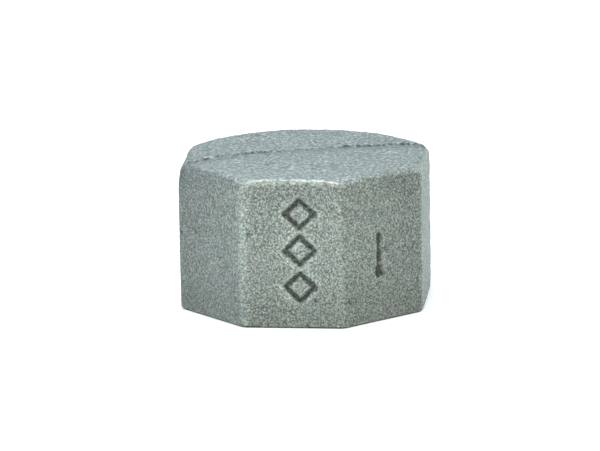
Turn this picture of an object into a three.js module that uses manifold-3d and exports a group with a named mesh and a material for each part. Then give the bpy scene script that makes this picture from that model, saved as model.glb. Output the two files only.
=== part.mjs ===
// Pipe cap for a 1 inch pipe: one octagonal malleable-iron casting, closed at the top,
// with an internal parallel pipe thread (Rp 1) tapped into the open mouth.
// Millimetres, +Z up. The cap stands on its mouth, and the origin is the centre of the mouth.
// The flat that carries the foundry mark faces -Y.
import * as THREE from 'three';
import { mergeVertices } from 'three/addons/utils/BufferGeometryUtils.js';
import Module from 'manifold-3d';

// Octagon
const ACROSS_FLATS = 39;
const SIDES = 8;
const CORNER_RADIUS = 1.6;      // rounding of the upright edges between the flats
const CORNER_STEPS = 3;
const FOOT_BEVEL = 0.45;        // small bevel around the mouth's outer edge

// Closed end: a low crown, a rounded shoulder and a chamfer that trims the octagon's corners
const CROWN_HEIGHT = 24.55;     // top of the crown above the mouth, on the front mould half
const SHOULDER_RADIUS = 18.6;   // where the crown turns into the shoulder
const SHOULDER_HEIGHT = 23.95;
const SHOULDER_ROUND = 2.5;     // radius of the shoulder's rounding
const CHAMFER_ANGLE = 20 * THREE.MathUtils.DEG2RAD;
const CROWN_STEPS = 3;
const SHOULDER_STEPS = 4;
const END_SEGMENTS = 72;

// The two mould halves meet on an upright plane through two opposite corners
const PARTING_AZIMUTH = 112.5;  // degrees from -Y towards +X, and the same line backwards
const MOULD_STEP = 0.2;         // the rear half sits this much higher than the front half

// Socket: BSP parallel internal thread Rp 1, 11 threads per inch, 55 degree Whitworth form
const THREAD_PITCH = 25.4 / 11;
const THREAD_MAJOR_RADIUS = 33.249 / 2;
const THREAD_MINOR_RADIUS = 30.291 / 2;
const THREAD_HALF_ANGLE = 27.5 * THREE.MathUtils.DEG2RAD;
const THREAD_DEPTH = 17.3;      // from the mouth to the last full thread
const THREAD_FADE_TURNS = 0.75; // the groove runs out to nothing over this part of a turn
const THREAD_OVERCUT = 0.3;     // the groove's section starts this far inside the bore
const SEGMENTS_PER_TURN = 32;
const MOUTH_CHAMFER = 0.5;      // the mouth opens this much past the major radius
const SOCKET_DEPTH = 20;        // depth at the wall of the blind end
const SOCKET_END_DOME = 0.5;    // the blind end is this much deeper on the axis
const SOCKET_END_ROUND = 1.6;   // rounding between the wall and the blind end
const SOCKET_END_STEPS = 3;

// Recessed marks cast into the flats, each placed from the flat's middle and the mouth
const MARK_DEPTH = 0.45;
const STROKE_WIDTH = 0.8;
const LOZENGE = { count: 3, width: 5.8, height: 5.5, pitch: 5.85, across: 1.2, middle: 12.5 };
const SIZE_MARK = {
  azimuth: 45, across: -0.8, foot: 7.1, top: 14.5, width: 0.95, footWidth: 1.6, footHeight: 1.3,
};

const CLEAR = 2;                // how far a cutting body runs past the surface that it cuts

const wasm = await Module();
wasm.setup();

function solidFrom(geometry) {
  const bare = geometry.clone();
  bare.deleteAttribute('normal');
  bare.deleteAttribute('uv');
  const merged = mergeVertices(bare, 1e-4);
  return new wasm.Manifold(new wasm.Mesh({
    numProp: 3,
    vertProperties: new Float32Array(merged.attributes.position.array),
    triVerts: new Uint32Array(merged.index.array),
  }));
}

function geometryFrom(solid) {
  const mesh = solid.getMesh();
  const geometry = new THREE.BufferGeometry();
  geometry.setAttribute('position', new THREE.BufferAttribute(mesh.vertProperties, 3));
  geometry.setIndex(new THREE.BufferAttribute(mesh.triVerts, 1));
  return geometry;
}

// A body of revolution about +Z from (radius, height) points that start and end on the axis.
function turned(points, segments) {
  const profile = points.map(([radius, height]) => new THREE.Vector2(radius, height));
  return solidFrom(new THREE.LatheGeometry(profile, segments).rotateX(Math.PI / 2));
}

// The octagon in plan, its corners rounded, with a flat facing -Y.
function octagonShape() {
  const half = ACROSS_FLATS / 2;
  const cornerAngle = Math.PI / SIDES;
  const arcCentre = (half - CORNER_RADIUS) / Math.cos(cornerAngle);
  const shape = new THREE.Shape();
  for (let side = 0; side < SIDES; side++) {
    const corner = -Math.PI / 2 + (side + 0.5) * 2 * cornerAngle;
    const x = arcCentre * Math.cos(corner);
    const y = arcCentre * Math.sin(corner);
    shape.absarc(x, y, CORNER_RADIUS, corner - cornerAngle, corner + cornerAngle, false);
  }
  return shape;
}

function octagonPrism() {
  return solidFrom(new THREE.ExtrudeGeometry(octagonShape(), {
    depth: CROWN_HEIGHT + CLEAR,
    curveSegments: CORNER_STEPS,
    bevelThickness: FOOT_BEVEL,
    bevelSize: FOOT_BEVEL,
    bevelOffset: -FOOT_BEVEL,
    bevelSegments: 1,
  }).translate(0, 0, FOOT_BEVEL));
}

// The closed end's outline turned about the axis: crown, rounded shoulder, chamfer cone.
function closedEnd(lift) {
  const crownSlope = 2 * Math.atan((CROWN_HEIGHT - SHOULDER_HEIGHT) / SHOULDER_RADIUS);
  const crownRadius = SHOULDER_RADIUS / Math.sin(crownSlope);
  const points = [[0, -CLEAR]];
  const crown = [];
  for (let i = 0; i <= CROWN_STEPS; i++) {
    const slope = crownSlope * i / CROWN_STEPS;
    crown.push([crownRadius * Math.sin(slope), CROWN_HEIGHT - crownRadius * (1 - Math.cos(slope))]);
  }
  const round = [];
  for (let i = 1; i <= SHOULDER_STEPS; i++) {
    const slope = crownSlope + (CHAMFER_ANGLE - crownSlope) * i / SHOULDER_STEPS;
    round.push([
      SHOULDER_RADIUS + SHOULDER_ROUND * (Math.sin(slope) - Math.sin(crownSlope)),
      SHOULDER_HEIGHT - SHOULDER_ROUND * (Math.cos(crownSlope) - Math.cos(slope)),
    ]);
  }
  const [coneRadius, coneHeight] = round.at(-1);
  const outside = ACROSS_FLATS / 2 + CLEAR;
  points.push([outside, -CLEAR]);
  points.push([outside, coneHeight - (outside - coneRadius) * Math.tan(CHAMFER_ANGLE)]);
  points.push(...round.reverse(), ...crown.reverse());
  return turned(points, END_SEGMENTS).translate(0, 0, lift);
}

// What the front mould half leaves off: everything above the closed end, in front of the parting plane.
function frontTrim() {
  const size = 2 * ACROSS_FLATS;
  const block = new THREE.BoxGeometry(size, size, size);
  block.translate(0, -size / 2, 0);
  block.rotateZ((PARTING_AZIMUTH - 90) * THREE.MathUtils.DEG2RAD);
  return solidFrom(block).subtract(closedEnd(0));
}

function castBlank() {
  return octagonPrism().intersect(closedEnd(MOULD_STEP)).subtract(frontTrim());
}

// The socket before threading: mouth chamfer, bore at the thread's minor radius, rounded blind end.
function socket() {
  const mouthRadius = THREAD_MAJOR_RADIUS + MOUTH_CHAMFER;
  const points = [
    [0, -CLEAR],
    [mouthRadius, -CLEAR],
    [mouthRadius, 0],
    [THREAD_MINOR_RADIUS, mouthRadius - THREAD_MINOR_RADIUS],
  ];
  for (let i = 0; i <= SOCKET_END_STEPS; i++) {
    const turn = (Math.PI / 2) * i / SOCKET_END_STEPS;
    points.push([
      THREAD_MINOR_RADIUS - SOCKET_END_ROUND * (1 - Math.cos(turn)),
      SOCKET_DEPTH - SOCKET_END_ROUND * (1 - Math.sin(turn)),
    ]);
  }
  points.push([0, SOCKET_DEPTH + SOCKET_END_DOME]);
  return turned(points, SEGMENTS_PER_TURN);
}

// The thread groove: a straight bar of the groove's section, wound into a right-hand helix.
// Along the bar, x is the radius, -y is the height within the groove, and z is the distance wound.
function threadGroove() {
  const depth = THREAD_MAJOR_RADIUS - THREAD_MINOR_RADIUS;
  const sharp = THREAD_PITCH / 2 / Math.tan(THREAD_HALF_ANGLE);
  const rootHalf = (sharp / 6) * Math.tan(THREAD_HALF_ANGLE);
  const openHalf = rootHalf + (depth + THREAD_OVERCUT) * Math.tan(THREAD_HALF_ANGLE);
  const section = new THREE.Shape([
    new THREE.Vector2(-THREAD_OVERCUT, -openHalf),
    new THREE.Vector2(depth, -rootHalf),
    new THREE.Vector2(depth, rootHalf),
    new THREE.Vector2(-THREAD_OVERCUT, openHalf),
  ]);
  const turns = THREAD_DEPTH / THREAD_PITCH + 1;
  const steps = Math.round(turns * SEGMENTS_PER_TURN);
  const halfStep = Math.PI / SEGMENTS_PER_TURN;    // its sections lie midway between the bore's corners
  const runOut = depth + THREAD_OVERCUT / 2;       // its last section is wholly inside the bore
  const bar = new THREE.ExtrudeGeometry(section, { depth: 1, steps, bevelEnabled: false });
  const position = bar.attributes.position;
  for (let i = 0; i < position.count; i++) {
    const turn = position.getZ(i) * steps / SEGMENTS_PER_TURN;
    const fade = Math.min(1, (steps / SEGMENTS_PER_TURN - turn) / THREAD_FADE_TURNS);
    const radius = THREAD_MINOR_RADIUS + position.getX(i) - (1 - fade) * runOut;
    const angle = turn * 2 * Math.PI + halfStep;
    const height = (turn - 1) * THREAD_PITCH - position.getY(i);
    position.setXYZ(i, radius * Math.cos(angle), radius * Math.sin(angle), height);
  }
  return solidFrom(bar);
}

// An outline (x across, y up) on the flat that faces this azimuth, as a cutter MARK_DEPTH deep.
function markCutter(shape, azimuth) {
  const cutter = new THREE.ExtrudeGeometry(shape, { depth: MARK_DEPTH + CLEAR, bevelEnabled: false });
  cutter.rotateX(Math.PI / 2);
  cutter.translate(0, MARK_DEPTH - ACROSS_FLATS / 2, 0);
  cutter.rotateZ(azimuth * THREE.MathUtils.DEG2RAD);
  return solidFrom(cutter);
}

function lozengePoints(across, middle, width, height) {
  return [
    new THREE.Vector2(across - width / 2, middle),
    new THREE.Vector2(across, middle - height / 2),
    new THREE.Vector2(across + width / 2, middle),
    new THREE.Vector2(across, middle + height / 2),
  ];
}

// Foundry mark: a column of plain lozenge outlines.
function foundryMark() {
  const { count, width, height, pitch, across, middle } = LOZENGE;
  const shrink = STROKE_WIDTH * 2 * Math.hypot(width, height);
  const cutters = [];
  for (let i = 0; i < count; i++) {
    const centre = middle + (i - (count - 1) / 2) * pitch;
    const shape = new THREE.Shape(lozengePoints(across, centre, width, height));
    const inner = lozengePoints(across, centre, width - shrink / height, height - shrink / width);
    shape.holes.push(new THREE.Path(inner));
    cutters.push(markCutter(shape, 0));
  }
  return cutters;
}

// Nominal size mark: a single upright stroke with a thicker foot.
function sizeMark() {
  const { azimuth, across, foot, top, width, footWidth, footHeight } = SIZE_MARK;
  const shape = new THREE.Shape([
    new THREE.Vector2(across - footWidth / 2, foot),
    new THREE.Vector2(across + footWidth / 2, foot),
    new THREE.Vector2(across + footWidth / 2, foot + footHeight),
    new THREE.Vector2(across + width / 2, foot + 2 * footHeight),
    new THREE.Vector2(across + width / 2, top),
    new THREE.Vector2(across - width / 2, top),
    new THREE.Vector2(across - width / 2, foot + 2 * footHeight),
    new THREE.Vector2(across - footWidth / 2, foot + footHeight),
  ]);
  return markCutter(shape, azimuth);
}

function capBody() {
  let solid = castBlank().subtract(socket()).subtract(threadGroove());
  for (const cutter of [...foundryMark(), sizeMark()]) {
    solid = solid.subtract(cutter);
  }
  const iron = new THREE.MeshStandardMaterial({ color: 0x7f8785, roughness: 0.75, metalness: 0.6 });
  const mesh = new THREE.Mesh(geometryFrom(solid), iron);
  mesh.name = 'cap_body';
  return mesh;
}

const cap = new THREE.Group();
cap.add(capBody());
export default cap;
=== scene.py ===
"""Looks of the 1 inch octagonal pipe cap: one malleable-iron casting with a blasted sand-cast skin,
a mould parting line, recessed marks and a cut thread.
Sizes here are in millimetres until the mesh is made."""
import math

import bmesh
import bpy
import numpy as np
from mathutils import Matrix, Vector, noise


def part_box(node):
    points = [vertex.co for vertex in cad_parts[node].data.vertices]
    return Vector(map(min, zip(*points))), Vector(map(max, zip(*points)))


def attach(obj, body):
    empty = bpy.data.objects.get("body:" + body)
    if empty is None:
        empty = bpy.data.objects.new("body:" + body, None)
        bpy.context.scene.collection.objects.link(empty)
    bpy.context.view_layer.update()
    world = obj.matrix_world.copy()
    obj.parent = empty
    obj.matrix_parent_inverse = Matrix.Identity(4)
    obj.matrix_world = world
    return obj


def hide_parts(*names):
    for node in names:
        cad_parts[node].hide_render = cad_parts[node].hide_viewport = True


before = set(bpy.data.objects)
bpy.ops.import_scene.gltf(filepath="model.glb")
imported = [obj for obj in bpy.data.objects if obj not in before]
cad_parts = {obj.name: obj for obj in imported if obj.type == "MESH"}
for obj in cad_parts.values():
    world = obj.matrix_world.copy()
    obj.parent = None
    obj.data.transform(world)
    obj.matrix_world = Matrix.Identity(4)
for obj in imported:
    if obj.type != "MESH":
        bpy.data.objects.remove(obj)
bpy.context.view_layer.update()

MM = 0.001

# Octagon, from the frame
BODY_LOW, BODY_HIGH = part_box("cap_body")
FLAT_RADIUS = (BODY_HIGH.x - BODY_LOW.x) / 2 / MM     # axis to a flat
TOP_HEIGHT = BODY_HIGH.z / MM                         # top of the rear mould half's crown
SIDES = 8
CORNER_RADIUS = 1.6
FOOT_BEVEL = 0.45

# Closed end
MOULD_STEP = 0.2
CROWN_HEIGHT = TOP_HEIGHT - MOULD_STEP
SHOULDER_RADIUS = 18.6
CROWN_RISE = 0.60                                     # the crown's middle above the shoulder
SHOULDER_HEIGHT = CROWN_HEIGHT - CROWN_RISE
SHOULDER_ROUND = 2.5
CHAMFER_ANGLE = math.radians(20)
RIM_ROUND = 0.85                                      # rounding between the chamfer and the flats
PARTING_AZIMUTH = math.radians(112.5)                 # from -Y towards +X

# Socket: BSP parallel thread Rp 1
THREAD_PITCH = 25.4 / 11
THREAD_MAJOR_RADIUS = 33.249 / 2
THREAD_MINOR_RADIUS = 30.291 / 2
THREAD_FULL_TO = 16.6                                 # height where the groove starts to fade
THREAD_ENDS_AT = 18.3                                 # and where it is gone
MOUTH_RADIUS = THREAD_MAJOR_RADIUS + 0.5
SOCKET_DEPTH = 20.0
SOCKET_END_DOME = 0.5
SOCKET_END_ROUND = 1.6

# Parting line across the closed end
STEP_FADE_FROM = 18.0                                 # the mould step fades in between these heights
STEP_FADE_TO = 21.5
PARTING_DRIFT = 0.35                                  # how far behind the axis the line crosses the top,
LEFT_DRIFT = 0.6                                      # and how much further at its left-hand end
SHADOW_STRIP = 0.36                                     # how dark the painted shadow strip just in front of the step is
STEP_GROWTH = 0.16                                    # the step's extra height towards its two ends
LIP_HEIGHT = 0.10                                     # flash left along the parting line
CREVICE_DEPTH = 0.09
CREVICE_LEAST = 0.58                                  # the crevice is at least and at most this open, which also sets how dark its painted shade is
CREVICE_MOST = 0.88

# Fins at the two corners on the parting plane, and the place filed off beside the left one
FLASH_HEIGHT = 0.20
FLASH_WIDTH = 0.25
FLASH_TOP = 22.6                                      # the right fin fades out towards this height
FLASH_CUT = 4.0                                       # the left one fades this much lower
FILED_DEPTH = 0.48
FILED_HEIGHT = 23.1
FILED_SIDE = -3.5                                     # towards the rear of the corner
FILED_TALL = 1.9
FILED_WIDE = 6.0

# Cast skin: its grain, its pits, its wear and painted highlights, and its painted light, lighter at the front
# than round the sides
RELIEF_INSET = 0.05                                   # the skin's peaks are at the nominal surface
# azimuth window of the rubbed edges that also carry a painted highlight
WEAR_HIGHLIGHT_MIDDLE = math.radians(0)
WEAR_HIGHLIGHT_SPREAD = math.radians(28)
WEAR_HIGHLIGHT_FADE = math.radians(9)
# painted light: the sides darken between these azimuths from the front
LIT_FRONT_FROM = math.radians(10)
LIT_FRONT_TO = math.radians(75)
LIP_WEAR_AND_HIGHLIGHT = 0.45                                       # how rubbed the lip along the parting line is, with a painted highlight
HALO_WEAR = 0.6                                       # and the band beside a stroke
PIT = {"azimuth": math.radians(-19.5), "height": 15.0, "size": 0.45, "depth": 0.28}
PIT_COUNT = 20                                        # smaller pits besides that one
PIT_SEED = 11
PIT_SHADE = 0.9                                       # how dark the painted shade at the bottom of a pit is

# Recessed marks
MARK_DEPTH = 0.45
STROKE_WIDTH = 0.8
STROKE_SLOPE = 0.46                                   # width of a stroke's sloping side
STROKE_RAGGED = 0.16
STROKE_HALO = 0.5                                     # width of the rubbed band beside a stroke
LOZENGES = {"count": 3, "width": 5.8, "height": 5.5, "pitch": 5.85, "across": 1.2, "middle": 12.5}
SIZE_MARK = {"azimuth": math.radians(45), "across": -0.8, "foot": 7.1, "top": 14.5, "width": 0.95,
             "foot_width": 1.6, "foot_height": 1.6}
FAR = 9.0                                             # a gap that stands for nowhere near a stroke

# Colours
SKIN_DARK = (0.108, 0.124, 0.111, 1)
SKIN_WARM = (0.483, 0.530, 0.471, 1)
SKIN_COOL = (0.457, 0.530, 0.489, 1)
SPECK_MEAN = 0.36                                     # mean of the speckle between dark and light
# cooler colour of the painted shade in the crevices and pits
CREVICE_SHADE_TINT = (0.88, 1.0, 1.04, 1)
CUT_DARK = (0.30, 0.30, 0.29, 1)
CUT_LIGHT = (0.44, 0.44, 0.43, 1)

# Stage: light names, then azimuth and elevation in degrees, distance and size in metres, watts, colour
FLOOR_SIZE = 1.4
SKY_GLOW = 0.15
LIGHTS = (
    ("key", -8, 74, 0.8, 0.22, 5.0, (1.07, 1.0, 1.03)),
    ("left_back", -165, 55, 1.2, 0.9, 8.0, (0.86, 1.0, 1.18)),
    ("right_back", 135, 20, 0.8, 0.4, 3.8, (0.86, 1.0, 1.0)),
    ("left_window", -60, 15, 0.8, 0.3, 1.4, (0.68, 1.0, 1.40)),
    ("front_fill", 0, 10, 0.8, 0.4, 3.15, (0.99, 1.0, 0.74)),
)

# Camera: angles in degrees, places in widths across flats, lens in millimetres
CAMERA = {"azimuth": 6.54, "elevation": 13.2, "roll": -0.98, "distance": 14.45, "raised": 0.3,
          "aim_right": -0.024, "aim_up": 0.309, "lens": 209.9, "sensor": 36}

# Mesh density
OUTER_COLUMNS = 480
SOCKET_COLUMNS = 160
FIRST_COLUMNS = 30                                    # vertices in the crown's innermost circle
CELL = 0.285                                          # spacing of the skin's vertices
CELL_STRETCH = 1.15                                   # a circle's columns double above this many cells
CIRCLES_END = SHOULDER_RADIUS - 0.2                   # radius of the crown's outermost circle
THREAD_CELL = 0.18
RIM_ROWS = 8
TOUCH = 0.01                                          # tolerance when sorting vertices by place


def direction(azimuth):
    """Unit vector in plan, azimuth from -Y towards +X."""
    return np.array([np.sin(azimuth), -np.cos(azimuth)])


# ---------------------------------------------------------------- the casting's outline

def octagon_points(count):
    """Evenly spaced points round the octagon with rounded corners, from the middle of the flat facing -Y."""
    sector = 2 * math.pi / SIDES
    straight = (FLAT_RADIUS - CORNER_RADIUS) * math.tan(sector / 2)
    length = 2 * straight + CORNER_RADIUS * sector
    along = np.arange(count) * SIDES * length / count
    side = np.floor(along / length + 0.5)
    offset = along - side * length
    bend = np.clip((np.abs(offset) - straight) / CORNER_RADIUS, 0, None)
    out = FLAT_RADIUS - CORNER_RADIUS * (1 - np.cos(bend))
    across = np.sign(offset) * (np.minimum(np.abs(offset), straight) + CORNER_RADIUS * np.sin(bend))
    facing = side * sector
    return direction(facing).T * out[:, None] + direction(facing + math.pi / 2).T * across[:, None]


def crown_height(xy):
    """Height of the front mould half's closed end over points in plan: crown, rounded shoulder, chamfer."""
    r = np.hypot(xy[:, 0], xy[:, 1])
    slope = 2 * math.atan((CROWN_HEIGHT - SHOULDER_HEIGHT) / SHOULDER_RADIUS)
    crown_radius = SHOULDER_RADIUS / math.sin(slope)
    crown = CROWN_HEIGHT - crown_radius + np.sqrt(crown_radius**2 - np.minimum(r, SHOULDER_RADIUS) ** 2)
    cone_radius = SHOULDER_RADIUS + SHOULDER_ROUND * (math.sin(CHAMFER_ANGLE) - math.sin(slope))
    turned = np.clip(r, SHOULDER_RADIUS, cone_radius) - SHOULDER_RADIUS
    sine = math.sin(slope) + turned / SHOULDER_ROUND
    shoulder = SHOULDER_ROUND * (math.cos(slope) - np.sqrt(1 - sine**2))
    cone = np.clip(r - cone_radius, 0, None) * math.tan(CHAMFER_ANGLE)
    return crown - shoulder - cone


def thread_radius(azimuth, z):
    """Radius of the threaded bore: flanks between flat crests and roots, each a sixth of the pitch wide."""
    depth = THREAD_MAJOR_RADIUS - THREAD_MINOR_RADIUS
    phase = (z / THREAD_PITCH + azimuth / (2 * math.pi)) % 1
    ramp = np.clip((np.abs(phase - 0.5) * 2 - 1 / 6) * 1.5, 0, 1)
    fade = np.clip((THREAD_ENDS_AT - z) / (THREAD_ENDS_AT - THREAD_FULL_TO), 0, 1)
    return THREAD_MINOR_RADIUS + depth * np.clip(ramp - (1 - fade), 0, 1)


# ---------------------------------------------------------------- rings of vertices

class Skin:
    """A closed surface made from rings, first to last, with a point at each end."""

    def __init__(self, first):
        self.points = [np.array([first])]
        self.count = 1
        self.faces = []
        self.face_is_cut = []
        self.ring = np.array([0])

    def add(self, ring, cut):
        start = self.count
        self.points.append(ring)
        self.count += len(ring)
        new = np.arange(start, self.count)
        if len(new) >= len(self.ring):
            faces = bridge(self.ring, new)
        else:
            faces = [f[::-1] for f in bridge(new, self.ring)]
        self.faces += faces
        self.face_is_cut += [cut] * len(faces)
        self.ring = new


def bridge(few, many):
    """Faces between two rings, where the second has a whole number of times as many vertices."""
    n, m = len(few), len(many)
    if n == 1:
        return [(few[0], many[i], many[(i + 1) % m]) for i in range(m)]
    if n == m:
        return [(few[i], many[i], many[(i + 1) % m], few[(i + 1) % n]) for i in range(n)]
    ratio = m // n
    faces = []
    for i in range(n):
        here, there = few[i], few[(i + 1) % n]
        for k in range(ratio):
            nearest = here if k < ratio / 2 else there
            faces.append((nearest, many[i * ratio + k], many[(i * ratio + k + 1) % m]))
            if k + 1 >= ratio / 2 > k:
                middle = many[(i * ratio + k + 1) % m]
                faces.append((here, middle, there))
    return faces


def with_height(xy, z):
    return np.column_stack([xy, np.broadcast_to(z, len(xy))])


def casting_skin():
    plan = octagon_points(OUTER_COLUMNS)
    reach = np.hypot(plan[:, 0], plan[:, 1])
    rays = plan / reach[:, None]
    skin = Skin([0, 0, crown_height(np.zeros((1, 2)))[0]])

    # Crown: circles, with more columns as they grow
    circle_rows = round(CIRCLES_END / CELL)
    for row in range(1, circle_rows + 1):
        radius = CIRCLES_END * row / circle_rows
        columns = FIRST_COLUMNS
        while 2 * math.pi * radius / columns > CELL_STRETCH * CELL:
            columns *= 2
        xy = rays[::OUTER_COLUMNS // columns] * radius
        skin.add(with_height(xy, crown_height(xy)), cut=False)

    # Shoulder: from the last circle to the start of the rim's rounding
    outer = reach - RIM_ROUND
    rows = math.ceil((outer.max() - CIRCLES_END) / CELL)
    for row in range(1, rows + 1):
        xy = rays * (CIRCLES_END + (outer - CIRCLES_END) * row / rows)[:, None]
        skin.add(with_height(xy, crown_height(xy)), cut=False)

    # Rim: a curve from the chamfer to the flat
    chamfer_end = crown_height(rays * outer[:, None])
    corner = crown_height(plan)
    for t in np.linspace(0, 1, RIM_ROWS + 1)[1:-1]:
        z = (1 - t) ** 2 * chamfer_end + 2 * t * (1 - t) * corner + t * t * (corner - RIM_ROUND)
        r = (1 - t) ** 2 * outer + (1 - (1 - t) ** 2) * reach
        skin.add(with_height(rays * r[:, None], z), cut=False)

    # Flats, down to the bevel
    top = corner - RIM_ROUND
    rows = round((top.max() - FOOT_BEVEL) / CELL)
    for row in range(rows + 1):
        skin.add(with_height(plan, top + (FOOT_BEVEL - top) * row / rows), cut=False)
    for t in (0.5, 1.0):
        skin.add(with_height(rays * (reach - FOOT_BEVEL * t)[:, None], FOOT_BEVEL * (1 - t)), cut=False)

    # Mouth face, chamfer and thread
    azimuth = 2 * math.pi * np.arange(SOCKET_COLUMNS) / SOCKET_COLUMNS
    socket_rays = direction(azimuth).T
    rows = round((SOCKET_DEPTH - SOCKET_END_ROUND) / THREAD_CELL)
    for row in range(rows + 1):
        z = (SOCKET_DEPTH - SOCKET_END_ROUND) * row / rows
        r = np.maximum(thread_radius(azimuth, z), MOUTH_RADIUS - z)
        skin.add(with_height(socket_rays * r[:, None], z), cut=True)

    # Blind end
    for turn in np.radians([22.5, 45, 67.5, 90]):
        r = THREAD_MINOR_RADIUS - SOCKET_END_ROUND * (1 - math.cos(turn))
        z = SOCKET_DEPTH - SOCKET_END_ROUND * (1 - math.sin(turn))
        skin.add(with_height(socket_rays * r, z), cut=False)
    flat_radius = THREAD_MINOR_RADIUS - SOCKET_END_ROUND
    for share, columns in ((0.9, 160), (0.8, 160), (0.7, 80), (0.6, 80), (0.5, 80), (0.4, 40), (0.3, 40),
                           (0.2, 20), (0.1, 20)):
        r = flat_radius * share
        z = SOCKET_DEPTH + SOCKET_END_DOME * (1 - share**2)
        skin.add(with_height(socket_rays[::SOCKET_COLUMNS // columns] * r, z), cut=False)
    skin.add(np.array([[0, 0, SOCKET_DEPTH + SOCKET_END_DOME]]), cut=False)
    return skin


# ---------------------------------------------------------------- marks and surface relief

def to_segment(u, v, start, end):
    """Distance from points (u, v) to the straight line between two points."""
    start, end = np.array(start), np.array(end)
    run = end - start
    t = np.clip(((u - start[0]) * run[0] + (v - start[1]) * run[1]) / (run @ run), 0, 1)
    return np.hypot(u - start[0] - t * run[0], v - start[1] - t * run[1])


def lozenge_strokes():
    mark = LOZENGES
    inset = STROKE_WIDTH * math.hypot(mark["width"], mark["height"])
    half_width = (mark["width"] - inset / mark["height"]) / 2
    half_height = (mark["height"] - inset / mark["width"]) / 2
    strokes = []
    for i in range(mark["count"]):
        middle = mark["middle"] + (i - (mark["count"] - 1) / 2) * mark["pitch"]
        tips = [(mark["across"] - half_width, middle), (mark["across"], middle - half_height),
                (mark["across"] + half_width, middle), (mark["across"], middle + half_height)]
        strokes += [(tips[k], tips[(k + 1) % 4], STROKE_WIDTH) for k in range(4)]
    return strokes


def size_strokes():
    mark = SIZE_MARK
    bottom = mark["foot"] + mark["foot_width"] / 2
    start = (mark["across"], bottom)
    stem_end = (mark["across"], mark["top"] - mark["width"] / 2)
    foot_end = (mark["across"], bottom + mark["foot_height"] / 2)
    return [(start, stem_end, mark["width"]), (start, foot_end, mark["foot_width"])]


def stroke_gap(points, azimuth, strokes):
    """How far points on the flat that faces this azimuth lie outside the strokes, negative within them."""
    facing = direction(azimuth)
    u = points[:, :2] @ direction(azimuth + math.pi / 2)
    on_flat = points[:, :2] @ facing > FLAT_RADIUS - 0.3
    gap = np.full(len(points), FAR)
    for start, end, width in strokes:
        gap = np.minimum(gap, to_segment(u, points[:, 2], start, end) - width / 2)
    return np.where(on_flat, gap, FAR)


def marks_gap(points):
    return np.minimum(stroke_gap(points, 0, lozenge_strokes()),
                      stroke_gap(points, SIZE_MARK["azimuth"], size_strokes()))


def smooth(t):
    t = np.clip(t, 0, 1)
    return t * t * (3 - 2 * t)


def noise_along(distance, size, shift):
    """Noise between -1 and 1 along a line, its features about size millimetres long."""
    return np.array([noise.noise(Vector((d / size, shift, 0.5))) for d in distance])


def ragged_noise(points, size, second_size, share):
    """Noise with features of the first size, and a share of noise of the second size added."""
    return np.array([noise.noise(Vector(p) / size) + share * noise.noise(Vector(p) / second_size)
                     for p in points])


def cast_relief(points):
    """Depth of the cast skin below its nominal surface: waves in the sand, lumps and grains."""
    relief = np.empty(len(points))
    for i, p in enumerate(points):
        v = Vector(p)
        waves = noise.noise(v / 5.5)
        lumps = noise.noise(v / 1.7 + Vector((9, 0, 0)))
        grains = noise.noise(v / 0.62)
        relief[i] = 0.055 * waves + 0.035 * lumps + 0.045 * grains
    return np.clip(RELIEF_INSET - relief, 0, None)


def pits(points):
    """Small blowholes: one on the marked flat, the others anywhere round the sides."""
    rng = np.random.default_rng(PIT_SEED)
    holes = [(PIT["azimuth"], PIT["height"], PIT["size"])]
    for _ in range(PIT_COUNT):
        holes.append((rng.uniform(0, 2 * math.pi), rng.uniform(1.5, 22), rng.uniform(0.2, 0.35)))
    depth = np.zeros(len(points))
    sector = 2 * math.pi / SIDES
    for azimuth, height, size in holes:
        off_flat = (azimuth + sector / 2) % sector - sector / 2
        centre = np.array([*(direction(azimuth) * FLAT_RADIUS / math.cos(off_flat)), height])
        away = np.linalg.norm(points - centre, axis=1) / size
        depth += PIT["depth"] * np.exp(-away**2)
    return depth


def parting_offset(points):
    """Distance behind the ragged line where the mould halves meet, and distance along it."""
    behind = points[:, :2] @ -direction(PARTING_AZIMUTH - math.pi / 2)
    along = points[:, :2] @ direction(PARTING_AZIMUTH)
    drift = PARTING_DRIFT + LEFT_DRIFT * smooth((5 - along) / 14)
    wander = 0.25 * noise_along(along, 4.0, 7.7) + 0.35 * noise_along(along, 1.1, 3.1)
    return behind - drift + wander + 0.15 * noise_along(along, 0.4, 1.3), along


def parting_step(points):
    """How much the closed end rises at the parting line, how far in the crevice (its painted shade) or on the
    lip it is.
    """
    behind, along = parting_offset(points)
    on_top = smooth((points[:, 2] - STEP_FADE_FROM) / (STEP_FADE_TO - STEP_FADE_FROM))
    to_right = smooth((along - 4) / 10)
    lip = np.clip(0.55 + 1.2 * noise_along(along, 0.9, 5.2), 0, 1) * np.exp(-((behind - 0.55) / 0.45) ** 2)
    open_here = 0.55 + 1.0 * noise_along(along, 1.2, 9.4) + 0.6 * noise_along(along, 0.4, 2.2)
    open_here = np.clip(open_here + 0.15 * to_right, CREVICE_LEAST, CREVICE_MOST)
    width = 0.42 + 0.10 * to_right + 0.16 * noise_along(along, 1.1, 6.6)
    # painted shade: dark in the crevice, and a fainter painted shadow strip in front of the step
    crevice = np.maximum(open_here * np.exp(-((behind + 0.15) / width) ** 2),
                         SHADOW_STRIP * np.exp(-((behind + 0.9) / 1.6) ** 2) * smooth(1.5 - behind))
    growth = STEP_GROWTH * smooth((np.abs(along) - 2) / 6) * np.exp(-(behind / 5) ** 2)
    rise = (MOULD_STEP - LIP_HEIGHT + growth) * smooth(behind / 0.24 + 0.5) + LIP_HEIGHT * lip
    rise -= CREVICE_DEPTH * crevice
    return on_top * rise, on_top * crevice, on_top * lip


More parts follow.
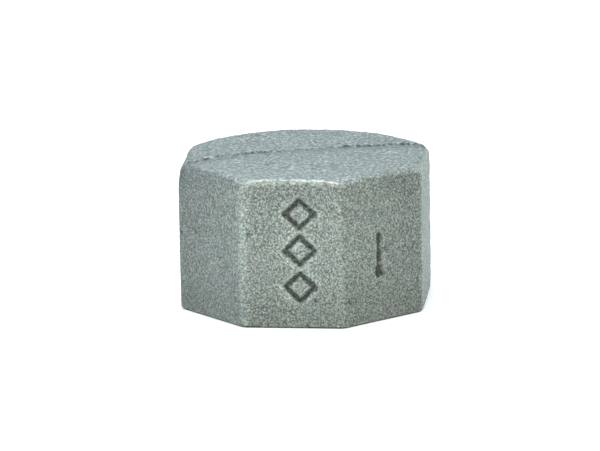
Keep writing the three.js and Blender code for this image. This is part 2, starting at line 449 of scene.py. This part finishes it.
def corner_flash(points):
    """Height of the fins at the two corners on the parting plane, less what is filed off at the left one."""
    height = points[:, 2]
    fins = np.zeros(len(points))
    for azimuth, ground in ((PARTING_AZIMUTH, 0.0), (PARTING_AZIMUTH + math.pi, 1.0)):
        out = points[:, :2] @ direction(azimuth)
        side = points[:, :2] @ direction(azimuth + math.pi / 2)
        ragged = np.clip(0.8 + 0.5 * noise_along(height, 1.3, 2.0 + ground), 0.4, 1)
        ragged *= (1 - 0.6 * ground) * smooth((FLASH_TOP - FLASH_CUT * ground - height) / 1.5)
        ridge = FLASH_HEIGHT * ragged * np.exp(-(side / FLASH_WIDTH) ** 2)
        spot = ((height - FILED_HEIGHT) / FILED_TALL) ** 2
        spot += ((side - FILED_SIDE) / FILED_WIDE) ** 2
        filed = ground * FILED_DEPTH * np.exp(-spot) * smooth((out - FLAT_RADIUS) / 5 + 1.2)
        fins += np.where(out > FLAT_RADIUS - 4, ridge, 0) - filed
    return fins * smooth(height / 1.5)


def edge_wear_and_highlight(points, normals):
    """How rubbed the skin is, with a painted highlight, from 0 to 1, raggedly: most at the front flat's rim
    and upright edges.
    """
    sector = 2 * math.pi / SIDES
    round_axis = np.arctan2(points[:, 0], -points[:, 1])
    corner = (np.floor(round_axis / sector) + 0.5) * sector
    from_corner = points[:, 0] * np.cos(corner) + points[:, 1] * np.sin(corner)
    width = np.where(corner > 0, 1.4, 0.9)
    on_side = smooth(4 * (0.5 - np.abs(normals[:, 2])))
    upright = 0.65 / width**2 * np.exp(-(from_corner / width) ** 2) * on_side
    rim = smooth((normals[:, 2] - 0.04) / 0.2) * smooth((0.93 - normals[:, 2]) / 0.12)
    lit_and_handled = smooth((WEAR_HIGHLIGHT_SPREAD - np.abs(round_axis - WEAR_HIGHLIGHT_MIDDLE)) / WEAR_HIGHLIGHT_FADE)
    ragged = ragged_noise(points, 0.8, 0.35, 0.8)
    edges = np.maximum(rim, upright) * (0.2 + 0.8 * lit_and_handled)
    return edges * np.clip(0.72 + 0.65 * ragged, 0, 1)


def skin_tone_and_light(points, normals):
    """How light the skin is, as painted light: lighter at the front and on the side facing +X, darker round
    the sides; also darker below the rim, most at the front, and towards the foot.
    """
    round_axis = np.abs(np.arctan2(points[:, 0], -points[:, 1]))
    lit_front = smooth((LIT_FRONT_TO - round_axis) / (LIT_FRONT_TO - LIT_FRONT_FROM))
    under_rim = smooth((points[:, 2] - 15) / 7) * (0.05 + 0.08 * smooth((0.6 - round_axis) / 0.4))
    by_foot = smooth((7 - points[:, 2]) / 5) * 0.08 * smooth((0.5 - round_axis) / 0.2)
    right_side = smooth((normals[:, 0] - 0.8) / 0.1)
    upright = (0.83 + 0.24 * lit_front + 0.09 * right_side) * (1 - under_rim) * (1 - by_foot)
    off_top = smooth((0.99 - normals[:, 2]) / 0.25)
    return 1.03 + off_top * (upright - 1.03)


def skin_coarse(normals):
    """Where the sand was coarser: 1 on the top, 0 on the sides."""
    return smooth((normals[:, 2] - 0.6) / 0.3)


def skin_contrast(points, normals):
    """How strong the skin's speckle is: faintest on the front of the top, strongest on the side facing +X."""
    upright = 1.2 + 0.2 * np.clip(normals[:, 0], -1, 0) + 0.2 * smooth((normals[:, 0] - 0.8) / 0.1)
    top = 0.75 + 0.35 * smooth((points[:, 1] + 4) / 12)
    return upright + skin_coarse(normals) * (top - upright)


def make_cap():
    skin = casting_skin()
    mesh = bpy.data.meshes.new("cap_casting")
    points = np.concatenate(skin.points)
    mesh.from_pydata(points.tolist(), [], [tuple(int(v) for v in f) for f in skin.faces])
    mesh.polygons.foreach_set("material_index", [int(cut) for cut in skin.face_is_cut])
    refine_marks(mesh)
    raise_relief(mesh)
    mesh.transform(Matrix.Scale(MM, 4))
    mesh.shade_smooth()
    mesh.set_sharp_from_angle(angle=math.radians(50))
    cap = bpy.data.objects.new("cap_casting", mesh)
    bpy.context.scene.collection.objects.link(cap)
    return cap


def refine_marks(mesh):
    """Smaller faces where the marks' strokes and the parting line are."""
    bm = bmesh.new()
    bm.from_mesh(mesh)
    centres = np.array([f.calc_center_median() for f in bm.faces])
    behind = parting_offset(centres)[0]
    at_parting = (np.abs(behind) < 0.5) & (centres[:, 2] > STEP_FADE_TO)
    near = np.flatnonzero((marks_gap(centres) < 0.35) | at_parting)
    bm.faces.ensure_lookup_table()
    edges = {e for i in near for e in bm.faces[i].edges}
    bmesh.ops.subdivide_edges(bm, edges=list(edges), cuts=2, use_grid_fill=True)
    bmesh.ops.recalc_face_normals(bm, faces=bm.faces)
    bm.to_mesh(mesh)
    bm.free()


def raise_relief(mesh):
    """Shapes the marks, the parting line and the cast skin, and stores what the material needs, painted
    shade, highlights and light among it.
    """
    count = len(mesh.vertices)
    co = np.empty(count * 3)
    mesh.vertices.foreach_get("co", co)
    co = co.reshape(-1, 3)
    normal = np.empty(count * 3)
    mesh.vertex_normals.foreach_get("vector", normal)
    normal = normal.reshape(-1, 3)
    inside = np.hypot(co[:, 0], co[:, 1]) < MOUTH_RADIUS + TOUCH
    inside &= co[:, 2] < SOCKET_DEPTH + SOCKET_END_DOME + TOUCH
    cut = (inside & (co[:, 2] < SOCKET_DEPTH - SOCKET_END_ROUND)) | (co[:, 2] < TOUCH)
    ragged = ragged_noise(co, 0.5, 1.4, 0.7)
    gap = marks_gap(co)
    recess = smooth(0.4 - (gap + STROKE_RAGGED * ragged) / STROKE_SLOPE)
    rise, crevice, lip = parting_step(co)
    flash = corner_flash(co)
    holes = pits(co)
    depth = np.where(cut, 0, cast_relief(co) + holes) + MARK_DEPTH * recess
    # painted shade at the bottom of the pits
    crevice = np.maximum(crevice, np.clip(holes / PIT["depth"], 0, PIT_SHADE))
    co -= normal * np.where(inside, depth, depth - flash)[:, None]
    co[:, 2] += np.where(inside, 0, rise)
    co = np.clip(co, np.array(BODY_LOW) / MM, np.array(BODY_HIGH) / MM)
    mesh.vertices.foreach_set("co", co.ravel())
    # rubbed edges and the band beside the strokes; the front rim, upright edges and parting lip also carry a
    # painted highlight
    beside_stroke = np.exp(-((gap - 0.35) / STROKE_HALO) ** 2) * (gap > 0) * (0.5 + 0.6 * ragged)
    wear_and_highlight = np.maximum(edge_wear_and_highlight(co, normal), HALO_WEAR * np.clip(beside_stroke, 0, 1))
    wear_and_highlight = np.maximum(wear_and_highlight, LIP_WEAR_AND_HIGHLIGHT * lip)
    # painted light round the sides
    tone = skin_tone_and_light(co, normal)
    contrast = skin_contrast(co, normal)
    rough = skin_coarse(normal)
    for name, values, within in (("recess", recess, 0), ("crevice", crevice, 0), ("wear_and_highlight", wear_and_highlight, 0),
                                 ("tone", tone, 0.9), ("contrast", contrast, 1), ("rough", rough, 0)):
        attribute = mesh.attributes.new(name, "FLOAT", "POINT")
        attribute.data.foreach_set("value", np.where(inside, within, values).astype(np.float32))
    mesh.update()


# ---------------------------------------------------------------- materials

class Nodes:
    """Short calls for building one material's node tree."""

    def __init__(self, name):
        self.material = bpy.data.materials.new(name)
        self.material.use_nodes = True
        self.tree = self.material.node_tree
        self.shader = self.tree.nodes["Principled BSDF"]
        self.object_space = self.tree.nodes.new("ShaderNodeTexCoord").outputs["Object"]

    def add(self, kind, inputs=None, **settings):
        node = self.tree.nodes.new(kind)
        for key, value in settings.items():
            setattr(node, key, value)
        for key, value in (inputs or {}).items():
            self.feed(node.inputs[key], value)
        return node

    def feed(self, socket, value):
        if isinstance(value, bpy.types.NodeSocket):
            self.tree.links.new(value, socket)
        else:
            socket.default_value = value

    def noise(self, size, detail=2.0, roughness=0.5, shift=0.0):
        """Noise whose features are about size millimetres across."""
        place = self.object_space
        if shift:
            place = self.add("ShaderNodeVectorMath", {0: place, 1: (shift, shift, shift)}).outputs[0]
        inputs = {"Vector": place, "Scale": 1 / (size * MM), "Detail": detail, "Roughness": roughness}
        return self.add("ShaderNodeTexNoise", inputs).outputs["Fac"]

    def attribute(self, name):
        return self.add("ShaderNodeAttribute", attribute_name=name).outputs["Fac"]

    def between(self, value, low, high, to_low=0.0, to_high=1.0):
        inputs = {"Value": value, "From Min": low, "From Max": high, "To Min": to_low, "To Max": to_high}
        return self.add("ShaderNodeMapRange", inputs).outputs["Result"]

    def math(self, operation, a, b):
        return self.add("ShaderNodeMath", {0: a, 1: b}, operation=operation).outputs[0]

    def blend(self, factor, a, b):
        return self.add("ShaderNodeMix", {0: factor, 2: a, 3: b}, data_type="FLOAT").outputs[0]

    def mix(self, factor, a, b):
        return self.add("ShaderNodeMix", {0: factor, 6: a, 7: b}, data_type="RGBA").outputs[2]


def cast_skin_material():
    n = Nodes("cast_skin")
    fine_grain = n.noise(0.30, detail=3, roughness=0.65)
    large_grain = n.noise(0.50, detail=3, roughness=0.55, shift=2.0)
    fine_sand = n.noise(0.27, detail=3, roughness=0.7, shift=4.0)
    large_sand = n.noise(0.50, detail=3, roughness=0.6, shift=6.0)
    coarse = n.noise(0.9, detail=2)
    mottle = n.noise(6.0, detail=3)
    tint = n.noise(1.4, detail=3, shift=8.0)
    height = n.add("ShaderNodeSeparateXYZ", {0: n.object_space}).outputs["Z"]
    recess = n.attribute("recess")
    crevice = n.attribute("crevice")
    wear_and_highlight = n.attribute("wear_and_highlight")
    painted_side_light = n.attribute("tone")
    contrast = n.attribute("contrast")
    rough = n.attribute("rough")

    grain = n.blend(rough, fine_grain, large_grain)
    sand = n.blend(rough, fine_sand, large_sand)
    speck = n.math("POWER", n.between(grain, 0.32, 0.68), 1.5)
    calmed = n.math("MULTIPLY", contrast, n.between(wear_and_highlight, 0.0, 1.0, 1.0, 0.45))
    off_mean = n.math("MULTIPLY", n.math("SUBTRACT", speck, SPECK_MEAN), calmed)
    light = n.mix(n.between(tint, 0.35, 0.65), SKIN_WARM, SKIN_COOL)
    colour = n.mix(n.math("ADD", off_mean, SPECK_MEAN), SKIN_DARK, light)
    # painted shade in the crevices and pits is cooler
    shade_tint = n.mix(crevice, (1, 1, 1, 1), CREVICE_SHADE_TINT)
    colour = n.add("ShaderNodeVectorMath", {0: colour, 1: shade_tint}, operation="MULTIPLY").outputs[0]
    large_patch = n.between(mottle, 0.3, 0.7, 0.93, 1.05)
    small_patch = n.between(coarse, 0.3, 0.7, 0.94, 1.06)
    patch = n.math("MULTIPLY", large_patch, small_patch)
    low = n.between(height, 1 * MM, 10 * MM, 0.80, 1.0)
    tone = n.math("MULTIPLY", n.math("MULTIPLY", patch, low), painted_side_light)
    # painted shade in the marks' recesses and in the crevices and pits
    mark_shade = n.between(n.math("POWER", recess, 1.6), 0.0, 1.0, 1.0, 0.34)
    painted_shade = n.math("MULTIPLY", mark_shade, n.between(crevice, 0.0, 1.0, 1.0, 0.4))
    # painted reflection of the floor on the foot bevel
    foot_reflection = n.between(height, 0.7 * MM, 0.4 * MM, 0.0, 0.15)
    # lighter where rubbed, partly a painted highlight, plus the foot bevel's painted reflection
    rubbed_and_highlight = n.math("ADD", n.between(wear_and_highlight, 0.0, 1.0, 1.0, 1.6), foot_reflection)
    # painted contact shadow along the foot, with a ragged edge
    ragged_height = n.math("ADD", height, n.math("MULTIPLY", grain, 0.4 * MM))
    foot_contact_shadow = n.between(ragged_height, 0.35 * MM, 0.55 * MM, 0.35, 1.0)
    painted_shade = n.math("MULTIPLY", painted_shade, foot_contact_shadow)
    shaded = n.math("MULTIPLY", n.math("MULTIPLY", tone, painted_shade), rubbed_and_highlight)
    colour = n.add("ShaderNodeVectorMath", {0: colour, "Scale": shaded}, operation="SCALE").outputs[0]
    n.feed(n.shader.inputs["Base Color"], colour)
    n.shader.inputs["Metallic"].default_value = 0.55
    blasted = n.between(coarse, 0.3, 0.7, 0.42, 0.58)
    n.feed(n.shader.inputs["Roughness"], n.math("MULTIPLY", blasted, n.between(wear_and_highlight, 0.0, 1.0, 1.0, 0.8)))

    bumps = n.math("ADD", sand, n.math("MULTIPLY", coarse, 0.7))
    unworn = n.between(wear_and_highlight, 0.0, 1.0, 0.28 * MM, 0.15 * MM)
    relief = n.math("MULTIPLY", unworn, n.between(rough, 0.0, 1.0, 1.0, 0.75))
    bump = n.add("ShaderNodeBump", {"Strength": 1.0, "Distance": relief, "Height": bumps})
    n.feed(n.shader.inputs["Normal"], bump.outputs["Normal"])
    return n.material


def cut_thread_material():
    n = Nodes("cut_thread")
    fine = n.noise(0.5, detail=3)
    stain = n.noise(4.0, detail=2)
    height = n.add("ShaderNodeSeparateXYZ", {0: n.object_space}).outputs["Z"]
    stretched = n.add("ShaderNodeCombineXYZ", {"Z": height}).outputs[0]
    turning = n.add("ShaderNodeTexNoise", {"Vector": stretched, "Scale": 1 / (0.12 * MM), "Detail": 2.0})
    lines = turning.outputs["Fac"]
    colour = n.mix(n.between(stain, 0.35, 0.65), CUT_DARK, CUT_LIGHT)
    n.feed(n.shader.inputs["Base Color"], colour)
    n.shader.inputs["Metallic"].default_value = 0.85
    n.feed(n.shader.inputs["Roughness"], n.between(fine, 0.3, 0.7, 0.30, 0.46))
    bump = n.add("ShaderNodeBump", {"Strength": 0.6, "Distance": 0.02 * MM, "Height": lines})
    n.feed(n.shader.inputs["Normal"], bump.outputs["Normal"])
    return n.material


def floor_material():
    """White acrylic, lit from below as on a light table."""
    n = Nodes("floor_acrylic")
    tint = n.mix(n.noise(30.0), (0.60, 0.60, 0.60, 1), (0.62, 0.62, 0.62, 1))
    n.feed(n.shader.inputs["Base Color"], tint)
    n.shader.inputs["Roughness"].default_value = 0.9
    n.shader.inputs["Emission Color"].default_value = (0.94, 1.0, 1.01, 1)
    n.shader.inputs["Emission Strength"].default_value = 0.46
    return n.material


# ---------------------------------------------------------------- stage, light and camera

def make_floor():
    bpy.ops.mesh.primitive_plane_add(size=FLOOR_SIZE, location=(0, 0, 0))
    floor = bpy.context.object
    floor.name = "floor"
    floor.data.materials.append(floor_material())


def make_world():
    """A faint glow for light, and plain white behind everything that the camera sees."""
    world = bpy.data.worlds.new("white_studio")
    bpy.context.scene.world = world
    world.use_nodes = True
    tree = world.node_tree
    glow = tree.nodes["Background"]
    glow.inputs["Color"].default_value = (0.95, 1.0, 1.06, 1)
    glow.inputs["Strength"].default_value = SKY_GLOW
    white = tree.nodes.new("ShaderNodeBackground")
    white.inputs["Color"].default_value = (1, 1, 1, 1)
    white.inputs["Strength"].default_value = 1.0
    path = tree.nodes.new("ShaderNodeLightPath")
    mix = tree.nodes.new("ShaderNodeMixShader")
    tree.links.new(path.outputs["Is Camera Ray"], mix.inputs[0])
    tree.links.new(glow.outputs[0], mix.inputs[1])
    tree.links.new(white.outputs[0], mix.inputs[2])
    tree.links.new(mix.outputs[0], tree.nodes["World Output"].inputs["Surface"])


def soft_box(name, azimuth, elevation, distance, size, watts, colour):
    """A square area light aimed at the cap, its azimuth from -Y towards +X. The camera doesn't see it."""
    light = bpy.data.lights.new(name, "AREA")
    light.shape = "SQUARE"
    light.size = size
    light.energy = watts
    light.color = colour
    lamp = bpy.data.objects.new(name, light)
    bpy.context.scene.collection.objects.link(lamp)
    flat = direction(azimuth) * math.cos(elevation)
    out = Vector((flat[0], flat[1], math.sin(elevation)))
    target = Vector((0, 0, 0.012))
    lamp.visible_camera = False
    turn = out.to_track_quat("Z", "Y").to_matrix().to_4x4()
    lamp.matrix_world = Matrix.Translation(target + out * distance) @ turn


def make_camera():
    """A long lens, low and nearly square to the marked flat."""
    across = 2 * FLAT_RADIUS * MM
    azimuth, elevation, roll = (math.radians(CAMERA[key]) for key in ("azimuth", "elevation", "roll"))
    distance = CAMERA["distance"] * across
    ground = direction(azimuth) * distance * math.cos(elevation)
    right = Vector((math.cos(azimuth), math.sin(azimuth), 0))
    place = Vector((*ground, distance * math.sin(elevation) + CAMERA["raised"] * across))
    target = right * (CAMERA["aim_right"] * across) + Vector((0, 0, CAMERA["aim_up"] * across))
    forward = (target - place).normalized()
    right = forward.cross(Vector((0, 0, 1))).normalized()
    up = right.cross(forward)
    turned_right = math.cos(roll) * right + math.sin(roll) * up
    turned_up = -math.sin(roll) * right + math.cos(roll) * up
    camera = bpy.data.objects.new("camera", bpy.data.cameras.new("camera"))
    camera.data.lens = CAMERA["lens"]
    camera.data.sensor_width = CAMERA["sensor"]
    camera.data.clip_start = 0.01
    bpy.context.scene.collection.objects.link(camera)
    turn = Matrix((turned_right, turned_up, -forward)).transposed().to_4x4()
    camera.matrix_world = Matrix.Translation(place) @ turn
    bpy.context.scene.camera = camera


make_camera()
make_floor()
make_world()
for name, azimuth, elevation, distance, size, watts, colour in LIGHTS:
    soft_box(name, math.radians(azimuth), math.radians(elevation), distance, size, watts, colour)
bpy.context.scene.view_settings.view_transform = "Standard"
bpy.context.scene.view_settings.look = "None"

cap = make_cap()
cap.data.materials.append(cast_skin_material())
cap.data.materials.append(cut_thread_material())
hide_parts("cap_body")
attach(cap, "root")
